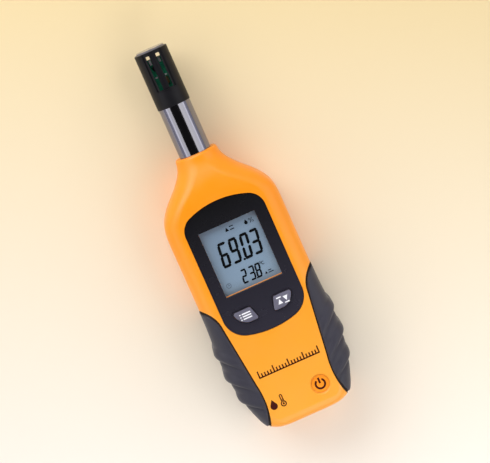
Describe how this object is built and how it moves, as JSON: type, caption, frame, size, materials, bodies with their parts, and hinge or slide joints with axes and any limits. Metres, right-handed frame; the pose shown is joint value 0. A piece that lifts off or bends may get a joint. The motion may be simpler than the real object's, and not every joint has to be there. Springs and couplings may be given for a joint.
{
  "type": "handheld humidity and temperature meter",
  "caption": "Handheld meter with an orange two-part case, dark rubber side grips, a recessed display and keys, and a chromed probe tube with a slotted sensor cap.",
  "frame": {"origin": "on the back face, under the middle of the instrument's box", "axes": "+X to the right of the display, +Y to the probe tip, +Z out of the face"},
  "size_m": [0.065, 0.2, 0.033],
  "materials": {
    "orange_shell": "satin moulded",
    "grip_rubber": "matte overmould",
    "panel_plastic": "matte film",
    "clear_lens": "clear",
    "lcd_cell": "grey-blue reflective display",
    "white_plastic": "moulded",
    "connector_rubber": "striped elastomer",
    "board_laminate": "green solder mask",
    "chip_epoxy": "moulded epoxy",
    "tinned_metal": "tinned",
    "can_sleeve": "shrink sleeve",
    "screw_steel": "zinc plated",
    "key_plastic": "satin moulded",
    "silicone": "translucent silicone",
    "carbon_rubber": "carbon loaded",
    "battery_jacket": "printed sleeve",
    "snap_plastic": "moulded",
    "red_insulation": "insulated wire",
    "black_insulation": "insulated wire",
    "chromed_tube": "bright",
    "ring_metal": "turned",
    "seal_rubber": "matte",
    "cap_plastic": "satin moulded",
    "foam": "soft foam"
  },
  "bodies": {
    "case": {"front_shell": "orange_shell", "rear_shell": "orange_shell", "front_left_grip": "grip_rubber", "front_right_grip": "grip_rubber", "rear_left_grip": "grip_rubber", "rear_right_grip": "grip_rubber", "display_panel": "panel_plastic", "lcd_lens": "clear_lens", "lcd_glass": "lcd_cell", "lcd_backlight": "white_plastic", "lcd_connector": "connector_rubber", "main_board": "board_laminate", "main_chip": "chip_epoxy", "crystal": "tinned_metal", "capacitor": "can_sleeve", "board_socket": "white_plastic", "sensor_plug": "snap_plastic", "board_screws": "screw_steel", "case_screws": "screw_steel", "mode_dome": "silicone", "max_min_dome": "silicone", "power_dome": "silicone", "keypad_mat": "silicone", "battery": "battery_jacket", "battery_foam": "foam", "battery_snap": "snap_plastic", "red_lead": "red_insulation", "black_lead": "black_insulation", "probe_tube": "chromed_tube", "tube_ring": "ring_metal", "tube_seal": "seal_rubber", "sensor_cap": "cap_plastic", "sensor_board": "board_laminate", "board_holder": "seal_rubber", "humidity_sensor": "chip_epoxy", "temperature_sensor": "black_insulation", "sensor_solder": "tinned_metal", "sensor_cable": "black_insulation"},
    "mode_button": {"mode_key": "key_plastic", "mode_contact": "carbon_rubber"},
    "max_min_button": {"max_min_key": "key_plastic", "max_min_contact": "carbon_rubber"},
    "power_button": {"power_key": "orange_shell", "power_contact": "carbon_rubber"},
    "door": {"battery_door": "orange_shell"}
  },
  "joints": [
    {"name": "mode_press", "type": "slide", "parent": "case", "child": "mode_button", "axis": [0, 0, -1], "range_m": [0, 0.0009], "stiffness_N_per_m": 1500, "deforming": ["mode_dome"]},
    {"name": "max_min_press", "type": "slide", "parent": "case", "child": "max_min_button", "axis": [0, 0, -1], "range_m": [0, 0.0009], "stiffness_N_per_m": 1500, "deforming": ["max_min_dome"]},
    {"name": "power_press", "type": "slide", "parent": "case", "child": "power_button", "axis": [0, 0, -1], "range_m": [0, 0.0009], "stiffness_N_per_m": 1500, "deforming": ["power_dome"]},
    {"name": "door_slide", "type": "slide", "parent": "case", "child": "door", "axis": [0, -1, 0], "range_m": [0, 0.07]}
  ]
}
